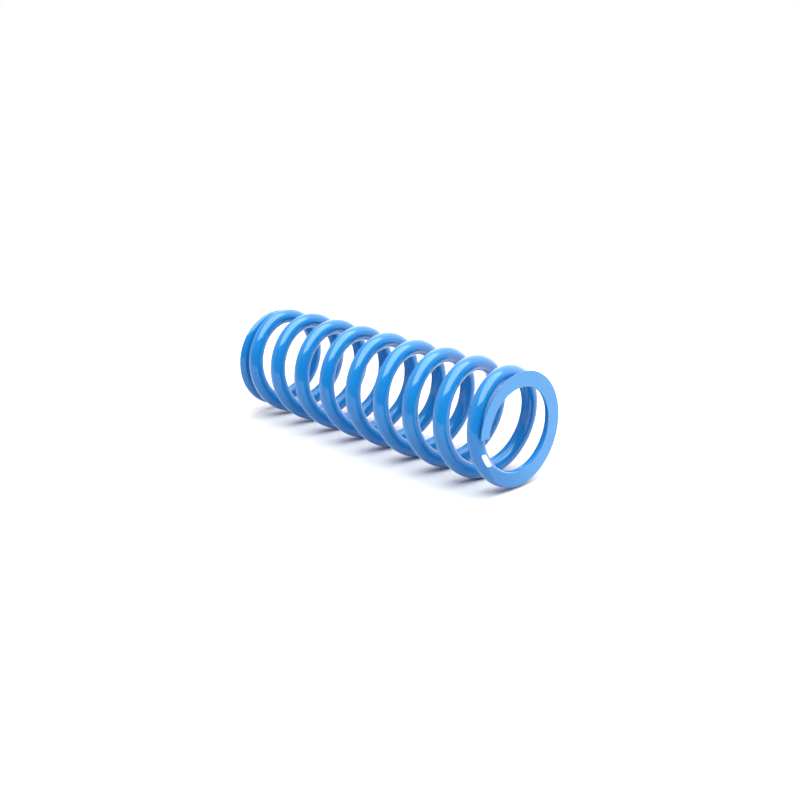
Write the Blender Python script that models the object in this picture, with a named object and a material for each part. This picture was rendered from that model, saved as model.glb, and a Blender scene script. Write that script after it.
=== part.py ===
"""Helical compression spring for a coilover strut: one right-hand wire with closed, ground ends.

The end coils are a little narrower than the open ones between them. The spring lies on its side. +X
runs along its axis to the front ground face, and +Z is up. The origin is on the floor under the
middle of the spring's length.

A rigid solid can't bend, so the one wire is divided along its length. Each end coil is a node, and
each open turn is four quarter-turn nodes, which close up on each other as the spring is compressed.
"""

import math

import bmesh
import bpy
from mathutils import Vector

# Driving dimensions, in metres, turns and degrees
END_BORE_DIAMETER = 0.0600  # the end coils fit a 60 mm perch
OPEN_BORE_DIAMETER = 0.0634
WIRE_DIAMETER = 0.0117
OPEN_PITCH = 0.0305  # axial rise of an open turn
REAR_END_PITCH = 0.0090  # axial rise of an end coil, which leaves its tip just clear of the next turn
FRONT_END_PITCH = 0.0080
TOTAL_TURNS = 10.26
REAR_CLOSED_TURNS = 0.86  # from the tip until the pitch is halfway to open
FRONT_CLOSED_TURNS = 0.81
EASE_TURNS = 0.30  # over which the pitch grows from closed to open
NARROW_TURNS = 0.80  # from a tip, before the coil starts to widen
WIDE_TURNS = 1.75  # from a tip, to where the coil has its full width
TIP_THICKNESS = 0.0023  # what grinding leaves of the wire at each tip
FRONT_TIP_DEGREES = 178.0  # about +X, from +Y towards +Z
PIECE_GAP = 0.0003  # between neighbouring lengths of wire

# How finely the wire is faceted
FACETS_PER_QUARTER = 7
WIRE_SIDES = 12

# The planes that divide the wire hold the axis and stand at 45 degrees to the floor
QUARTER = 90.0
FIRST_CUT_DEGREES = 45.0
SIDE_NAMES = ("left", "bottom", "right", "top")  # as seen by someone facing the front ground face

ENAMEL_BLUE = (0.022, 0.235, 0.80, 1.0)
ENAMEL_ROUGHNESS = 0.18

WIRE_RADIUS = WIRE_DIAMETER / 2
END_COIL_RADIUS = (END_BORE_DIAMETER + WIRE_DIAMETER) / 2
OPEN_COIL_RADIUS = (OPEN_BORE_DIAMETER + WIRE_DIAMETER) / 2
AXIS_HEIGHT = OPEN_COIL_RADIUS + WIRE_RADIUS
FACET_DEGREES = QUARTER / FACETS_PER_QUARTER
# Coil facets touch the true circle at their middles
FACET_STRETCH = 1 / math.cos(math.radians(FACET_DEGREES / 2))
GAP_DEGREES = math.degrees(PIECE_GAP / (OPEN_COIL_RADIUS - WIRE_RADIUS))


def rise(turns, end_pitch, closed_turns):
    """Axial distance from a tip to the point this many turns along the wire from it."""
    opened = (turns - closed_turns) / EASE_TURNS + 0.5
    if opened <= 0:
        eased = 0.0
    elif opened < 1:
        eased = opened**3 - opened**4 / 2  # the integral of a smoothstep
    else:
        eased = opened - 0.5
    return end_pitch * turns + (OPEN_PITCH - end_pitch) * EASE_TURNS * eased


def rear_rise(turns):
    return rise(turns, REAR_END_PITCH, REAR_CLOSED_TURNS)


def front_rise(turns):
    return rise(turns, FRONT_END_PITCH, FRONT_CLOSED_TURNS)


def coil_radius(degrees):
    """From the axis to the wire's centre line, at an angle counted along the whole wire."""
    turns = min(degrees - REAR_TIP_DEGREES, FRONT_TIP_DEGREES - degrees) / 360
    widened = min(max((turns - NARROW_TURNS) / (WIDE_TURNS - NARROW_TURNS), 0.0), 1.0)
    eased = widened**2 * (3 - 2 * widened)
    return END_COIL_RADIUS + (OPEN_COIL_RADIUS - END_COIL_RADIUS) * eased


HALF_COILED_LENGTH = (rear_rise(TOTAL_TURNS / 2) + front_rise(TOTAL_TURNS / 2)) / 2
GROUND_FACE_X = HALF_COILED_LENGTH - WIRE_RADIUS + TIP_THICKNESS
REAR_TIP_DEGREES = FRONT_TIP_DEGREES - 360 * TOTAL_TURNS


def wire_x(degrees):
    """Where the wire's centre line is along the axis, at an angle counted along the whole wire."""
    from_rear = (degrees - REAR_TIP_DEGREES) / 360
    if from_rear < TOTAL_TURNS / 2:
        return rear_rise(from_rear) - HALF_COILED_LENGTH
    return HALF_COILED_LENGTH - front_rise(TOTAL_TURNS - from_rear)


def facet_angles(start, end):
    """The angles of the rings of a length of wire: its two ends, and each facet line between them."""
    first = math.floor((start - FIRST_CUT_DEGREES) / FACET_DEGREES) + 1
    last = math.ceil((end - FIRST_CUT_DEGREES) / FACET_DEGREES) - 1
    lines = [FIRST_CUT_DEGREES + FACET_DEGREES * i for i in range(first, last + 1)]
    shortest = FACET_DEGREES / 4
    inner = [line for line in lines if start + shortest < line < end - shortest]
    return [start, *inner, end]


def add_ring(mesh, degrees, centre_x):
    """One cross-section of the wire, in the plane that holds the axis, about a centre on the axis."""
    step = 0.5
    slope = (wire_x(degrees + step) - wire_x(degrees - step)) / math.radians(2 * step)
    # A slanted wire's section is longer along the axis
    slant = math.hypot(1, slope / coil_radius(degrees))
    turn = math.radians(degrees)
    ring = []
    for side in range(WIRE_SIDES):
        around = 2 * math.pi * side / WIRE_SIDES
        x = wire_x(degrees) - centre_x + WIRE_RADIUS * slant * math.sin(around)
        radius = (coil_radius(degrees) + WIRE_RADIUS * math.cos(around)) * FACET_STRETCH
        ring.append(mesh.verts.new((x, radius * math.cos(turn), radius * math.sin(turn))))
    return ring


def add_wire(mesh, start, end, centre_x):
    """A closed length of wire between two angles."""
    rings = [add_ring(mesh, degrees, centre_x) for degrees in facet_angles(start, end)]
    for ring, following in zip(rings, rings[1:]):
        for side in range(WIRE_SIDES):
            after = (side + 1) % WIRE_SIDES
            mesh.faces.new((ring[side], ring[after], following[after], following[side]))
    mesh.faces.new(rings[0])
    mesh.faces.new(rings[-1])
    bmesh.ops.recalc_face_normals(mesh, faces=mesh.faces)


def grind(mesh, face_x, outward):
    """Cuts away what stands past the plane of a ground end, and closes the cut with a flat face."""
    everything = mesh.verts[:] + mesh.edges[:] + mesh.faces[:]
    cut = bmesh.ops.bisect_plane(
        mesh,
        geom=everything,
        dist=1e-6,
        plane_co=(face_x, 0, 0),
        plane_no=(outward, 0, 0),
        clear_outer=True,
    )
    rim = [edge for edge in cut["geom_cut"] if isinstance(edge, bmesh.types.BMEdge)]
    bmesh.ops.holes_fill(mesh, edges=rim)
    bmesh.ops.recalc_face_normals(mesh, faces=mesh.faces)


def enamel(name):
    """Glossy blue enamel."""
    material = bpy.data.materials.new(name)
    material.use_nodes = True
    shader = material.node_tree.nodes["Principled BSDF"]
    shader.inputs["Base Color"].default_value = ENAMEL_BLUE
    shader.inputs["Roughness"].default_value = ENAMEL_ROUGHNESS
    shader.inputs["Metallic"].default_value = 0.0
    shader.inputs["Coat Weight"].default_value = 1.0
    return material


def add_node(name, start, end, axis, ground=0):
    """An object for the wire between two angles. Its origin is on the spring's axis.

    ground is 1 or -1 where the front or the rear end of the spring is ground into it.
    """
    centre_x = (wire_x(start) + wire_x(end)) / 2
    mesh = bmesh.new()
    add_wire(mesh, start, end, centre_x)
    if ground:
        grind(mesh, ground * GROUND_FACE_X - centre_x, ground)
    data = bpy.data.meshes.new(name)
    mesh.to_mesh(data)
    mesh.free()
    data.shade_smooth()
    data.set_sharp_from_angle(angle=math.radians(50))
    data.materials.append(enamel(name + "_enamel"))
    node = bpy.data.objects.new(name, data)
    node.location = Vector((centre_x, 0, 0))
    node.parent = axis
    bpy.context.scene.collection.objects.link(node)


def cut_after(degrees):
    """The first dividing plane at or past an angle."""
    return FIRST_CUT_DEGREES + QUARTER * math.ceil((degrees - FIRST_CUT_DEGREES) / QUARTER)


def build():
    for found in list(bpy.data.objects):
        bpy.data.objects.remove(found)

    axis = bpy.data.objects.new("spring_axis", None)
    axis.location = Vector((0, 0, AXIS_HEIGHT))
    bpy.context.scene.collection.objects.link(axis)

    # Each end coil is the first whole turn, and on to the next dividing plane
    first_cut = cut_after(REAR_TIP_DEGREES + 360)
    last_cut = cut_after(FRONT_TIP_DEGREES - 360) - QUARTER
    half_gap = GAP_DEGREES / 2
    add_node("rear_end_coil", REAR_TIP_DEGREES, first_cut - half_gap, axis, ground=-1)
    for quarter in range(round((last_cut - first_cut) / QUARTER)):
        start = first_cut + QUARTER * quarter
        name = f"turn_{quarter // 4 + 1}_{SIDE_NAMES[quarter % 4]}"
        add_node(name, start + half_gap, start + QUARTER - half_gap, axis)
    add_node("front_end_coil", last_cut + half_gap, FRONT_TIP_DEGREES, axis, ground=1)


build()
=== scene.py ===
import math

import bpy
import numpy as np
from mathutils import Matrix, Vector


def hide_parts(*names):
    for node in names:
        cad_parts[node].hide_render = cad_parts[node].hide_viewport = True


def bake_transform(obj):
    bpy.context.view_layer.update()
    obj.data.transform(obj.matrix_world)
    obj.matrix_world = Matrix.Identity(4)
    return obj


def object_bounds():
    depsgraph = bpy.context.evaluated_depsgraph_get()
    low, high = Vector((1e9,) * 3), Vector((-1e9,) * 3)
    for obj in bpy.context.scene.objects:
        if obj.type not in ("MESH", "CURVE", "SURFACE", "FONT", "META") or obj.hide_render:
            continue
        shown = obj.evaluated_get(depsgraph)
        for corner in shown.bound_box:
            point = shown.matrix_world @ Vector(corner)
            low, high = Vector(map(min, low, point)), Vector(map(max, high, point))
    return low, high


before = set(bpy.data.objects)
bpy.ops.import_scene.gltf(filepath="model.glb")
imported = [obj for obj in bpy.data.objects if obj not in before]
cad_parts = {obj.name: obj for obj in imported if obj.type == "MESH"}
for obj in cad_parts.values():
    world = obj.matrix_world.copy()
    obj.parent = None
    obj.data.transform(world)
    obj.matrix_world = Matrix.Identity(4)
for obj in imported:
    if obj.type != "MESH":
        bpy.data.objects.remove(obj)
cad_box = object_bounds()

# The wire as it is designed, in metres, turns and degrees
WIRE_RADIUS = 0.00585
END_COIL_RADIUS = 0.03585
OPEN_PITCH = 0.0305
REAR_END_PITCH = 0.0090
FRONT_END_PITCH = 0.0080
TOTAL_TURNS = 10.26
REAR_CLOSED_TURNS = 0.86
FRONT_CLOSED_TURNS = 0.81
EASE_TURNS = 0.30
NARROW_TURNS = 0.80
WIDE_TURNS = 1.75
FRONT_TIP_DEGREES = 178.0  # about +X, from +Y towards +Z
REAR_TIP_DEGREES = FRONT_TIP_DEGREES - 360 * TOTAL_TURNS

# The coil's place and outside size come from the frame
FRAME_LOW, FRAME_HIGH = cad_box
GROUND_FACE_X = FRAME_HIGH.x
AXIS_HEIGHT = (FRAME_LOW.z + FRAME_HIGH.z) / 2
OPEN_COIL_RADIUS = (FRAME_HIGH.z - FRAME_LOW.z) / 2 - WIRE_RADIUS

# Where the wire's share of the compression stops changing near each end: the middles of the first and
# last open quarter turns
REAR_STILL_DEGREES = -3060.0
FRONT_STILL_DEGREES = -270.0
STILL_TURNS_REAR = (REAR_STILL_DEGREES - REAR_TIP_DEGREES) / 360
STILL_TURNS_FRONT = (FRONT_TIP_DEGREES - FRONT_STILL_DEGREES) / 360

# How the wire is meshed
RINGS_PER_TURN = 108
FLAT_SHARES = (0.0, 0.3, 0.6, 0.85, 0.97)  # across half a ground flat, before its edge begins
EDGE_POINTS = 6
ARC_POINTS = 11
HALF_RING = len(FLAT_SHARES) + EDGE_POINTS + ARC_POINTS
EDGE_ROUNDING = 0.00035
LEAST_ROUNDING = EDGE_ROUNDING / 20
RUN_OUT_ANGLE = math.radians(18)  # below this, a flat is a sliver and the ring keeps a fixed spacing
TIP_ROUNDING_STEPS = 5
SHARP_ANGLE = math.radians(60)

# A ground face narrows away from its tip, and its finish and its painted reflection fade there into those
# of the round wire
FACE_TOLERANCE = 1e-5  # a point this near the ground plane is on the face
FINISH_AND_REFLECTION_FADE_BEGINS = 0.62  # turns from the tip
FINISH_AND_REFLECTION_FADE_TURNS = 0.24


def smoothstep(share):
    share = np.clip(share, 0.0, 1.0)
    return share * share * (3 - 2 * share)


def rise(turns, end_pitch, closed_turns):
    """Axial distance from a tip to points this many turns along the wire from it."""
    opened = (turns - closed_turns) / EASE_TURNS + 0.5
    eased = np.clip(opened, 0.0, 1.0)
    grown = eased**3 - eased**4 / 2 + np.maximum(opened - 1, 0.0)
    return end_pitch * turns + (OPEN_PITCH - end_pitch) * EASE_TURNS * grown


def wire_x(turns):
    """Where the centre line is along the axis, by turns from the rear tip."""
    rear = REAR_END_PITCH, REAR_CLOSED_TURNS
    front = FRONT_END_PITCH, FRONT_CLOSED_TURNS
    middle = TOTAL_TURNS / 2
    half = (rise(middle, *rear) + rise(middle, *front)) / 2
    by_rear_tip = rise(turns, *rear) - half
    by_front_tip = half - rise(TOTAL_TURNS - turns, *front)
    return np.where(turns < middle, by_rear_tip, by_front_tip)


def coil_radius(turns):
    """From the axis to the wire's centre line, by turns from the rear tip."""
    from_tip = min(turns, TOTAL_TURNS - turns)
    widened = float(smoothstep((from_tip - NARROW_TURNS) / (WIDE_TURNS - NARROW_TURNS)))
    return END_COIL_RADIUS + (OPEN_COIL_RADIUS - END_COIL_RADIUS) * widened


def half_section(cut, radius, rounding):
    """Half of a cross-section, from the middle of the side that faces the nearer end of the spring.

    cut is how far the ground plane is from the centre of the wire. Returns each point's distance
    towards the end of the spring, and its distance sideways.
    """
    uniform = np.linspace(0, math.pi, HALF_RING)
    least_cut = rounding + (radius - rounding) * math.cos(RUN_OUT_ANGLE)
    depth = min(cut, least_cut)
    edge_side = math.sqrt((radius - rounding) ** 2 - (depth - rounding) ** 2)
    edge_angle = math.atan2(edge_side, depth - rounding)
    flat_side = edge_side * np.array(FLAT_SHARES)
    turned = edge_angle * np.linspace(0, 1, EDGE_POINTS)
    arc = np.linspace(edge_angle, math.pi, ARC_POINTS + 1)[1:]
    outward = np.concatenate([
        np.full(len(FLAT_SHARES), depth),
        depth - rounding + rounding * np.cos(turned),
        radius * np.cos(arc),
    ])
    sideways = np.concatenate([
        flat_side,
        edge_side + rounding * np.sin(turned),
        radius * np.sin(arc),
    ])
    if cut <= least_cut:
        return outward, sideways
    # A round section keeps the spacing of the thinnest flat, and eases to an even one further on
    angles = np.arctan2(sideways, outward)
    angles[-1] = math.pi
    even = float(smoothstep((cut - radius) / radius))
    angles = angles * (1 - even) + uniform * even
    return np.minimum(radius * np.cos(angles), cut), radius * np.sin(angles)


def ring_at(turns, inset=0.0):
    """One cross-section, in the plane that holds the axis. inset shrinks it all round.

    Returns its points, and where they would be on a straight wire: the distance along it from the
    front tip, the distance away from the coil's axis, and the distance towards the front.
    """
    end = 1 if turns > TOTAL_TURNS / 2 else -1
    step = 1e-3
    near = np.clip(np.array([turns - step, turns + step]), 0.0, TOTAL_TURNS)
    slope = np.diff(wire_x(near))[0] / (2 * math.pi * (near[1] - near[0]))
    centre_radius = coil_radius(turns)
    slant = math.hypot(1, slope / centre_radius)  # a slanted wire's section is longer along the axis
    centre = float(wire_x(np.array(turns)))
    cut = (GROUND_FACE_X - end * centre) / slant
    rounding = max(EDGE_ROUNDING - inset, LEAST_ROUNDING)
    outward, sideways = half_section(cut - inset, WIRE_RADIUS - inset, rounding)
    if end < 0:  # the same ring counted from the other side, so that rings join point to point
        outward, sideways = -outward[::-1], sideways[::-1]
    frontward = np.concatenate([outward, outward[-2:0:-1]])
    away = np.concatenate([sideways, -sideways[-2:0:-1]])
    along = np.full(len(away), (TOTAL_TURNS - turns) * 2 * math.pi * END_COIL_RADIUS)
    angle = math.radians(REAR_TIP_DEGREES + 360 * turns)
    coiled = np.stack([
        centre + slant * frontward,
        (centre_radius + away) * math.cos(angle),
        AXIS_HEIGHT + (centre_radius + away) * math.sin(angle),
    ], axis=1)
    return coiled, np.stack([along, away, frontward], axis=1)


def wire_rings():
    """Every ring along the wire, coiled and straight, and each one's place in turns from the rear tip."""
    turns_per_metre = 1 / (2 * math.pi * END_COIL_RADIUS)
    rounding = EDGE_ROUNDING * turns_per_metre
    angles = [math.radians(90) * step / TIP_ROUNDING_STEPS for step in range(TIP_ROUNDING_STEPS + 1)]
    shrink = [EDGE_ROUNDING * (1 - math.cos(angle)) for angle in angles]
    back = [rounding * (1 - math.sin(angle)) for angle in angles]
    middle = np.linspace(2 * rounding, TOTAL_TURNS - 2 * rounding, round(RINGS_PER_TURN * TOTAL_TURNS))
    places = [*back[::-1], *middle, *(TOTAL_TURNS - distance for distance in back)]
    insets = [*shrink[::-1], *(0.0 for _ in middle), *shrink]
    rings = np.array([ring_at(place, inset) for place, inset in zip(places, insets)])
    return rings[:, 0], rings[:, 1], np.array(places)


def bend_with_compression(wire, coiled, places):
    """Works out each cross-section's share of the spring's compression, which grows evenly along the
    wire.

    The wire is laid out on a straight line at the distances that give this even growth, the object's
    transform is applied to it, and it is coiled again afterwards.
    """
    moving = TOTAL_TURNS - STILL_TURNS_REAR - STILL_TURNS_FRONT
    share = np.clip((places - STILL_TURNS_REAR) / moving, 0.0, 1.0)
    along = 0.5 - np.sin(np.arcsin(1 - 2 * share) / 3)  # the inverse of a smoothstep
    per_point = np.repeat(along, coiled.shape[1])
    laid_out = np.zeros((len(per_point), 3), np.float32)
    laid_out[:, 0] = per_point
    wire.data.vertices.foreach_set("co", laid_out.ravel())
    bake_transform(wire)
    wire.data.vertices.foreach_set("co", coiled.reshape(-1, 3).astype(np.float32).ravel())
    wire.data.update()


def store(mesh, name, kind, values):
    """Keeps a number or a vector for each point of a mesh, for its material."""
    attribute = mesh.attributes.new(name=name, type=kind, domain="POINT")
    field = "vector" if kind == "FLOAT_VECTOR" else "value"
    attribute.data.foreach_set(field, np.asarray(values, np.float32).ravel())


def ground_share(rings, places):
    """1 on the ground faces, and less where they run out into the round wire."""
    on_face = np.abs(rings[:, :, 0]) > GROUND_FACE_X - FACE_TOLERANCE
    from_tip = np.minimum(places, TOTAL_TURNS - places)
    faded = smoothstep((from_tip - FINISH_AND_REFLECTION_FADE_BEGINS) / FINISH_AND_REFLECTION_FADE_TURNS)
    return on_face * (1 - faded[:, None])


def make_wire(material):
    """The whole wire as one closed mesh, in place of the lengths that the frame divides it into."""
    rings, straight, places = wire_rings()
    count, around = rings.shape[:2]
    faces = []
    for ring in range(count - 1):
        for point in range(around):
            after = (point + 1) % around
            first, following = ring * around, (ring + 1) * around
            faces.append((first + point, first + after, following + after, following + point))
    faces.append(tuple(range(around))[::-1])
    faces.append(tuple(range((count - 1) * around, count * around)))
    mesh = bpy.data.meshes.new("spring_wire")
    mesh.from_pydata(rings.reshape(-1, 3).tolist(), [], faces)
    mesh.shade_smooth()
    mesh.set_sharp_from_angle(angle=SHARP_ANGLE)
    mesh.materials.append(material)
    wire = bpy.data.objects.new("spring_wire", mesh)
    bpy.context.scene.collection.objects.link(wire)
    # The material reads these, so that its detail stays on the wire when the spring is compressed
    store(mesh, "straight_wire", "FLOAT_VECTOR", straight)
    store(mesh, "at_rest", "FLOAT_VECTOR", rings)
    store(mesh, "ground_face", "FLOAT", ground_share(rings, places))
    bend_with_compression(wire, rings, places)
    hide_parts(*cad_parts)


# A Mix node's sockets share their names, so they are chosen by number: its inputs A and B, its result
MIX_NUMBER_SOCKETS = 2, 3, 0
MIX_COLOUR_SOCKETS = 6, 7, 2


class Shading:
    """A short way to add nodes to a material or world. Inputs are other nodes' outputs, or values."""

    def __init__(self, tree):
        self.nodes = tree.nodes
        self.links = tree.links

    def fill(self, socket, source):
        if isinstance(source, bpy.types.NodeSocket):
            self.links.new(source, socket)
        else:
            socket.default_value = source

    def node(self, kind, output, sources, **settings):
        """Adds a node with its inputs filled, by name or number, and returns one of its outputs."""
        node = self.nodes.new("ShaderNode" + kind)
        for name, value in settings.items():
            setattr(node, name, value)
        for socket, source in sources.items():
            self.fill(node.inputs[socket], source)
        return node.outputs[output]

    def attribute(self, name, output):
        return self.node("Attribute", output, {}, attribute_name=name)

    def math(self, operation, first, second=0.0):
        return self.node("Math", 0, {0: first, 1: second}, operation=operation)

    def dot(self, vector, direction):
        return self.node("VectorMath", "Value", {0: vector, 1: direction}, operation="DOT_PRODUCT")

    def parts(self, vector):
        """A vector's x, y and z."""
        separate = self.nodes.new("ShaderNodeSeparateXYZ")
        self.links.new(vector, separate.inputs[0])
        return separate.outputs[:]

    def smooth_step(self, value, begins, ends):
        """0 where the value is at begins, 1 where it is at ends, and eased between them."""
        sources = {"Value": value, "From Min": begins, "From Max": ends}
        return self.node("MapRange", "Result", sources, interpolation_type="SMOOTHSTEP")

    def between(self, factor, low, high):
        """low where the factor is 0, and high where it is 1."""
        sources = {"Value": factor, "To Min": low, "To Max": high}
        return self.node("MapRange", "Result", sources)

    def noise(self, vector, size, detail=2.0):
        """Noise from 0 to 1, with features about this many metres across."""
        return self.node("TexNoise", "Fac", {"Vector": vector, "Scale": 1 / size, "Detail": detail})

    def mix(self, factor, first, second):
        """One colour where the factor is 0, and another where it is 1."""
        low, high, result = MIX_COLOUR_SOCKETS
        sources = {"Factor": factor, low: first, high: second}
        return self.node("Mix", result, sources, data_type="RGBA")

    def mix_numbers(self, factor, first, second):
        """One number where the factor is 0, and another where it is 1."""
        low, high, result = MIX_NUMBER_SOCKETS
        return self.node("Mix", result, {"Factor": factor, low: first, high: second})


def new_material(name):
    """A material, and the shader it starts with."""
    material = bpy.data.materials.new(name)
    material.use_nodes = True
    return material, material.node_tree.nodes["Principled BSDF"]


# The enamel. Lengths are in metres, and each pair of roughnesses is a range that noise varies over
ENAMEL_BLUE = (0.0046, 0.150, 0.435, 1)
ENAMEL_THIN_BLUE = (0.0060, 0.165, 0.468, 1)
FILM_PATCH_SIZE = 0.025
FILM_PATCH_EDGES = 0.3, 0.7
ENAMEL_ROUGHNESS = 0.14, 0.26
SMEAR_SIZE = 0.012
SMEAR_DETAIL = 4.0
ORANGE_PEEL_SIZE = 0.0032
ORANGE_PEEL_DETAIL = 1.0
ORANGE_PEEL_HEIGHT = 6e-6
BASE_SPECULAR = 0.12  # low, since the clear coat gives nearly all the gloss
COAT_ROUGHNESS = 0.03
COAT_IOR = 1.45

# The enamel on the ground faces, with the marks of the wheel that ground them. Its paler blue is a
# painted reflection, so that the faces look as bright as what they mirror
GROUND_FACE_REFLECTION_BLUE = (0.046, 0.235, 0.550, 1)
GROUND_ROUGHNESS = 0.30, 0.42
GRINDING_WHEEL_CENTRE = (0.0, 0.22, 0.16)
GRINDING_MARKS_PER_METRE = 900.0
GRINDING_DETAIL = 4.0
GRINDING_HEIGHT = 4e-6

# The painted highlight: a white patch painted on the wire near the front tip, where a highlight shows.
# Its place is along the wire from the front tip, and around the wire
PAINTED_HIGHLIGHT_WHITE = (0.80, 0.81, 0.82, 1)
PAINTED_HIGHLIGHT_ALONG = 0.2092
PAINTED_HIGHLIGHT_AROUND = 0.0002
PAINTED_HIGHLIGHT_HALF_LENGTH = 0.0051
PAINTED_HIGHLIGHT_HALF_WIDTH = 0.0021
PAINTED_HIGHLIGHT_END_SKEW = 0.35  # how far its ends slant along the wire for each metre around it
PAINTED_HIGHLIGHT_SIDE_SKEW = 0.08  # how far its sides slant around the wire for each metre along it
PAINTED_HIGHLIGHT_SQUARENESS = 4.0
PAINTED_HIGHLIGHT_RAG_SIZE = 0.0015
PAINTED_HIGHLIGHT_RAG_SHARE = 0.5
PAINTED_HIGHLIGHT_EDGE = 1.45, 1.05  # its reach from the middle where it is gone, and where it is full
PAINTED_HIGHLIGHT_ROUGHNESS = 0.5
PAINTED_HIGHLIGHT_HEIGHT = 4e-5


def painted_highlight_mask(shade, straight):
    """1 on a painted highlight, a white patch near the front end, and 0 elsewhere."""
    along, away, frontward = shade.parts(straight)
    around = shade.math("MULTIPLY", shade.math("ARCTAN2", away, frontward), WIRE_RADIUS)
    off_along = shade.math("SUBTRACT", along, PAINTED_HIGHLIGHT_ALONG)
    off_around = shade.math("SUBTRACT", around, PAINTED_HIGHLIGHT_AROUND)
    length = shade.math("SUBTRACT", off_along, shade.math("MULTIPLY", off_around, PAINTED_HIGHLIGHT_END_SKEW))
    width = shade.math("SUBTRACT", off_around, shade.math("MULTIPLY", off_along, PAINTED_HIGHLIGHT_SIDE_SKEW))
    reach = shade.math("MULTIPLY", shade.noise(straight, PAINTED_HIGHLIGHT_RAG_SIZE), PAINTED_HIGHLIGHT_RAG_SHARE)
    for distance, half_size in ((width, PAINTED_HIGHLIGHT_HALF_WIDTH), (length, PAINTED_HIGHLIGHT_HALF_LENGTH)):
        share = shade.math("ABSOLUTE", shade.math("DIVIDE", distance, half_size))
        reach = shade.math("ADD", reach, shade.math("POWER", share, PAINTED_HIGHLIGHT_SQUARENESS))
    return shade.smooth_step(reach, *PAINTED_HIGHLIGHT_EDGE)


def grinding_marks(shade):
    """Fine arcs left in the ground faces by a large wheel, from 0 to 1."""
    ends = {0: shade.attribute("at_rest", "Vector"), 1: GRINDING_WHEEL_CENTRE}
    from_wheel = shade.node("VectorMath", "Value", ends, operation="DISTANCE")
    sources = {"W": from_wheel, "Scale": GRINDING_MARKS_PER_METRE, "Detail": GRINDING_DETAIL}
    return shade.node("TexNoise", "Fac", sources, noise_dimensions="1D")


def enamel():
    """Glossy blue enamel under a clear coat, over steel wire with ground ends, with a painted reflection
    on the ground faces and a painted highlight near the front tip.
    """
    material, shader = new_material("blue_enamel")
    shade = Shading(material.node_tree)
    straight = shade.attribute("straight_wire", "Vector")
    ground = shade.attribute("ground_face", "Fac")
    painted_highlight = painted_highlight_mask(shade, straight)
    marks = grinding_marks(shade)

    thin = shade.smooth_step(shade.noise(straight, FILM_PATCH_SIZE), *FILM_PATCH_EDGES)
    blue = shade.mix(thin, ENAMEL_BLUE, ENAMEL_THIN_BLUE)
    # the ground faces get a paler blue: a painted reflection
    with_face_reflection = shade.mix(ground, blue, GROUND_FACE_REFLECTION_BLUE)
    # a white patch near the front tip is a painted highlight
    shade.fill(shader.inputs["Base Color"], shade.mix(painted_highlight, with_face_reflection, PAINTED_HIGHLIGHT_WHITE))

    smears = shade.noise(straight, SMEAR_SIZE, SMEAR_DETAIL)
    round_roughness = shade.between(smears, *ENAMEL_ROUGHNESS)
    ground_roughness = shade.between(marks, *GROUND_ROUGHNESS)
    roughness = shade.mix_numbers(ground, round_roughness, ground_roughness)
    shade.fill(shader.inputs["Roughness"], shade.mix_numbers(painted_highlight, roughness, PAINTED_HIGHLIGHT_ROUGHNESS))

    peel = shade.noise(straight, ORANGE_PEEL_SIZE, ORANGE_PEEL_DETAIL)
    peel_height = shade.math("MULTIPLY", peel, ORANGE_PEEL_HEIGHT)
    marks_height = shade.math("MULTIPLY", shade.math("MULTIPLY", marks, ground), GRINDING_HEIGHT)
    painted_highlight_height = shade.math("MULTIPLY", painted_highlight, PAINTED_HIGHLIGHT_HEIGHT)
    height = shade.math("ADD", shade.math("ADD", peel_height, marks_height), painted_highlight_height)
    bump = shade.node("Bump", "Normal", {"Height": height, "Distance": 1.0})
    shade.fill(shader.inputs["Normal"], bump)
    shade.fill(shader.inputs["Coat Normal"], bump)
    shader.inputs["Specular IOR Level"].default_value = BASE_SPECULAR
    shader.inputs["Coat Weight"].default_value = 1.0
    shader.inputs["Coat Roughness"].default_value = COAT_ROUGHNESS
    shader.inputs["Coat IOR"].default_value = COAT_IOR
    return material


# The floor
FLOOR_WHITE = (0.62, 0.553, 0.60, 1)
FLOOR_ROUGHNESS = 0.7
FLOOR_HALF_SIZE = 6.0


def make_floor():
    corners = [
        (-FLOOR_HALF_SIZE, -FLOOR_HALF_SIZE, 0),
        (FLOOR_HALF_SIZE, -FLOOR_HALF_SIZE, 0),
        (FLOOR_HALF_SIZE, FLOOR_HALF_SIZE, 0),
        (-FLOOR_HALF_SIZE, FLOOR_HALF_SIZE, 0),
    ]
    mesh = bpy.data.meshes.new("floor")
    mesh.from_pydata(corners, [], [(0, 1, 2, 3)])
    material, shader = new_material("floor")
    shader.inputs["Base Color"].default_value = FLOOR_WHITE
    shader.inputs["Roughness"].default_value = FLOOR_ROUGHNESS
    mesh.materials.append(material)
    floor = bpy.data.objects.new("floor", mesh)
    bpy.context.scene.collection.objects.link(floor)


# The light. Angles are in degrees, and a direction's azimuth is 0 towards -Y and 90 towards +X.
# Distances across the softbox are from above the spring, in times the softbox's height
SOFTBOX_RADIANCE = 6.3
SOFTBOX_COLOUR = (0.86, 1.03, 0.97)
# Along each of two azimuths: how far its near and far edges are, and each one's fade to either side
SOFTBOX_EDGES = (
    (35, (-0.52, 0.12), (0.95, 0.05)),
    (125, (-0.42, 0.12), (1.00, 0.35)),
)
SOFTBOX_BRIGHT_AZIMUTH = 75  # it grows brighter this way
SOFTBOX_BRIGHTENING = -0.6, 0.4  # between these distances
SOFTBOX_DIM_SHARE = 0.62
SOFTBOX_LEAST_SLOPE = 0.01  # a direction lower than this can't look into it
DIM_RADIANCE = 0.18  # of everything around that nothing else lights
# Azimuth, elevation, degrees out to which it is full, degrees beyond which it is gone, radiance
GLOWS = (
    (192, 22, 28, 62, 1.8),
    (-58, 15, 25, 65, 0.60),
)


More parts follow.
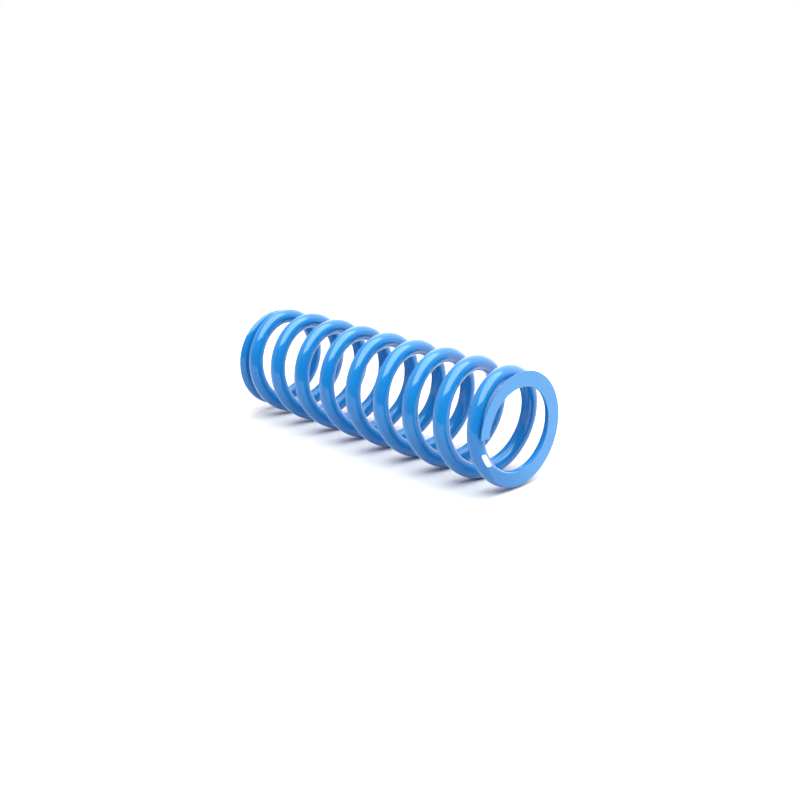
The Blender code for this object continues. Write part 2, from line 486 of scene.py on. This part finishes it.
def direction(azimuth, elevation):
    """A unit vector."""
    turned, raised = math.radians(azimuth), math.radians(elevation)
    return Vector((
        math.sin(turned) * math.cos(raised),
        -math.cos(turned) * math.cos(raised),
        math.sin(raised),
    ))


def softbox(shade, towards):
    """How bright the large light overhead is in a direction, from 0 to 1."""
    height = shade.parts(towards)[2]

    def place(azimuth):
        """Where the direction meets the softbox, as its distance along an azimuth."""
        return shade.math("DIVIDE", shade.dot(towards, direction(azimuth, 0)), height)

    light = shade.math("GREATER_THAN", height, SOFTBOX_LEAST_SLOPE)
    for azimuth, (near, near_fade), (far, far_fade) in SOFTBOX_EDGES:
        across = place(azimuth)
        past_near = shade.smooth_step(across, near - near_fade, near + near_fade)
        before_far = shade.smooth_step(across, far + far_fade, far - far_fade)
        light = shade.math("MULTIPLY", light, shade.math("MULTIPLY", past_near, before_far))
    brightened = shade.smooth_step(place(SOFTBOX_BRIGHT_AZIMUTH), *SOFTBOX_BRIGHTENING)
    return shade.math("MULTIPLY", light, shade.between(brightened, SOFTBOX_DIM_SHARE, 1.0))


def make_world():
    """A dim studio: a large softbox overhead, a bright glow beyond the spring, a weak one to its left."""
    world = bpy.data.worlds.new("studio")
    world.use_nodes = True
    shade = Shading(world.node_tree)
    towards = shade.node("TexCoord", "Generated", {})
    overhead = shade.math("MULTIPLY", softbox(shade, towards), SOFTBOX_RADIANCE)
    around = DIM_RADIANCE
    for azimuth, elevation, full, gone, radiance in GLOWS:
        nearness = shade.dot(towards, direction(azimuth, elevation))
        edges = math.cos(math.radians(gone)), math.cos(math.radians(full))
        share = shade.smooth_step(nearness, *edges)
        around = shade.math("ADD", around, shade.math("MULTIPLY", share, radiance))
    tinted = shade.node("VectorMath", 0, {0: SOFTBOX_COLOUR, "Scale": overhead}, operation="SCALE")
    light = shade.node("VectorMath", 0, {0: tinted, 1: around}, operation="ADD")
    # What the camera sees past the floor is plain white
    seen = shade.node("LightPath", "Is Camera Ray", {})
    background = shade.nodes["Background"]
    shade.fill(background.inputs["Color"], shade.mix(seen, light, (1, 1, 1, 1)))
    background.inputs["Strength"].default_value = 1.0
    bpy.context.scene.world = world


# The camera's place about the middle of the spring, and how far off that middle it aims
CAMERA_AZIMUTH = 47.11
CAMERA_ELEVATION = 16.82
CAMERA_DISTANCE = 0.8260
CAMERA_LENS = 48.20
AIM_RIGHT = 0.01035
AIM_DOWN = 0.00875


def make_camera():
    centre = Vector((0, 0, AXIS_HEIGHT))
    back = direction(CAMERA_AZIMUTH, CAMERA_ELEVATION)
    right = direction(CAMERA_AZIMUTH + 90, 0)
    up = back.cross(right)
    place = centre + back * CAMERA_DISTANCE
    aim = centre + right * AIM_RIGHT - up * AIM_DOWN
    data = bpy.data.cameras.new("camera")
    data.lens = CAMERA_LENS
    camera = bpy.data.objects.new("camera", data)
    camera.location = place
    camera.rotation_euler = (aim - place).to_track_quat("-Z", "Y").to_euler()
    bpy.context.scene.collection.objects.link(camera)
    bpy.context.scene.camera = camera


make_wire(enamel())
make_floor()
make_world()
make_camera()
bpy.context.scene.view_settings.view_transform = "Standard"
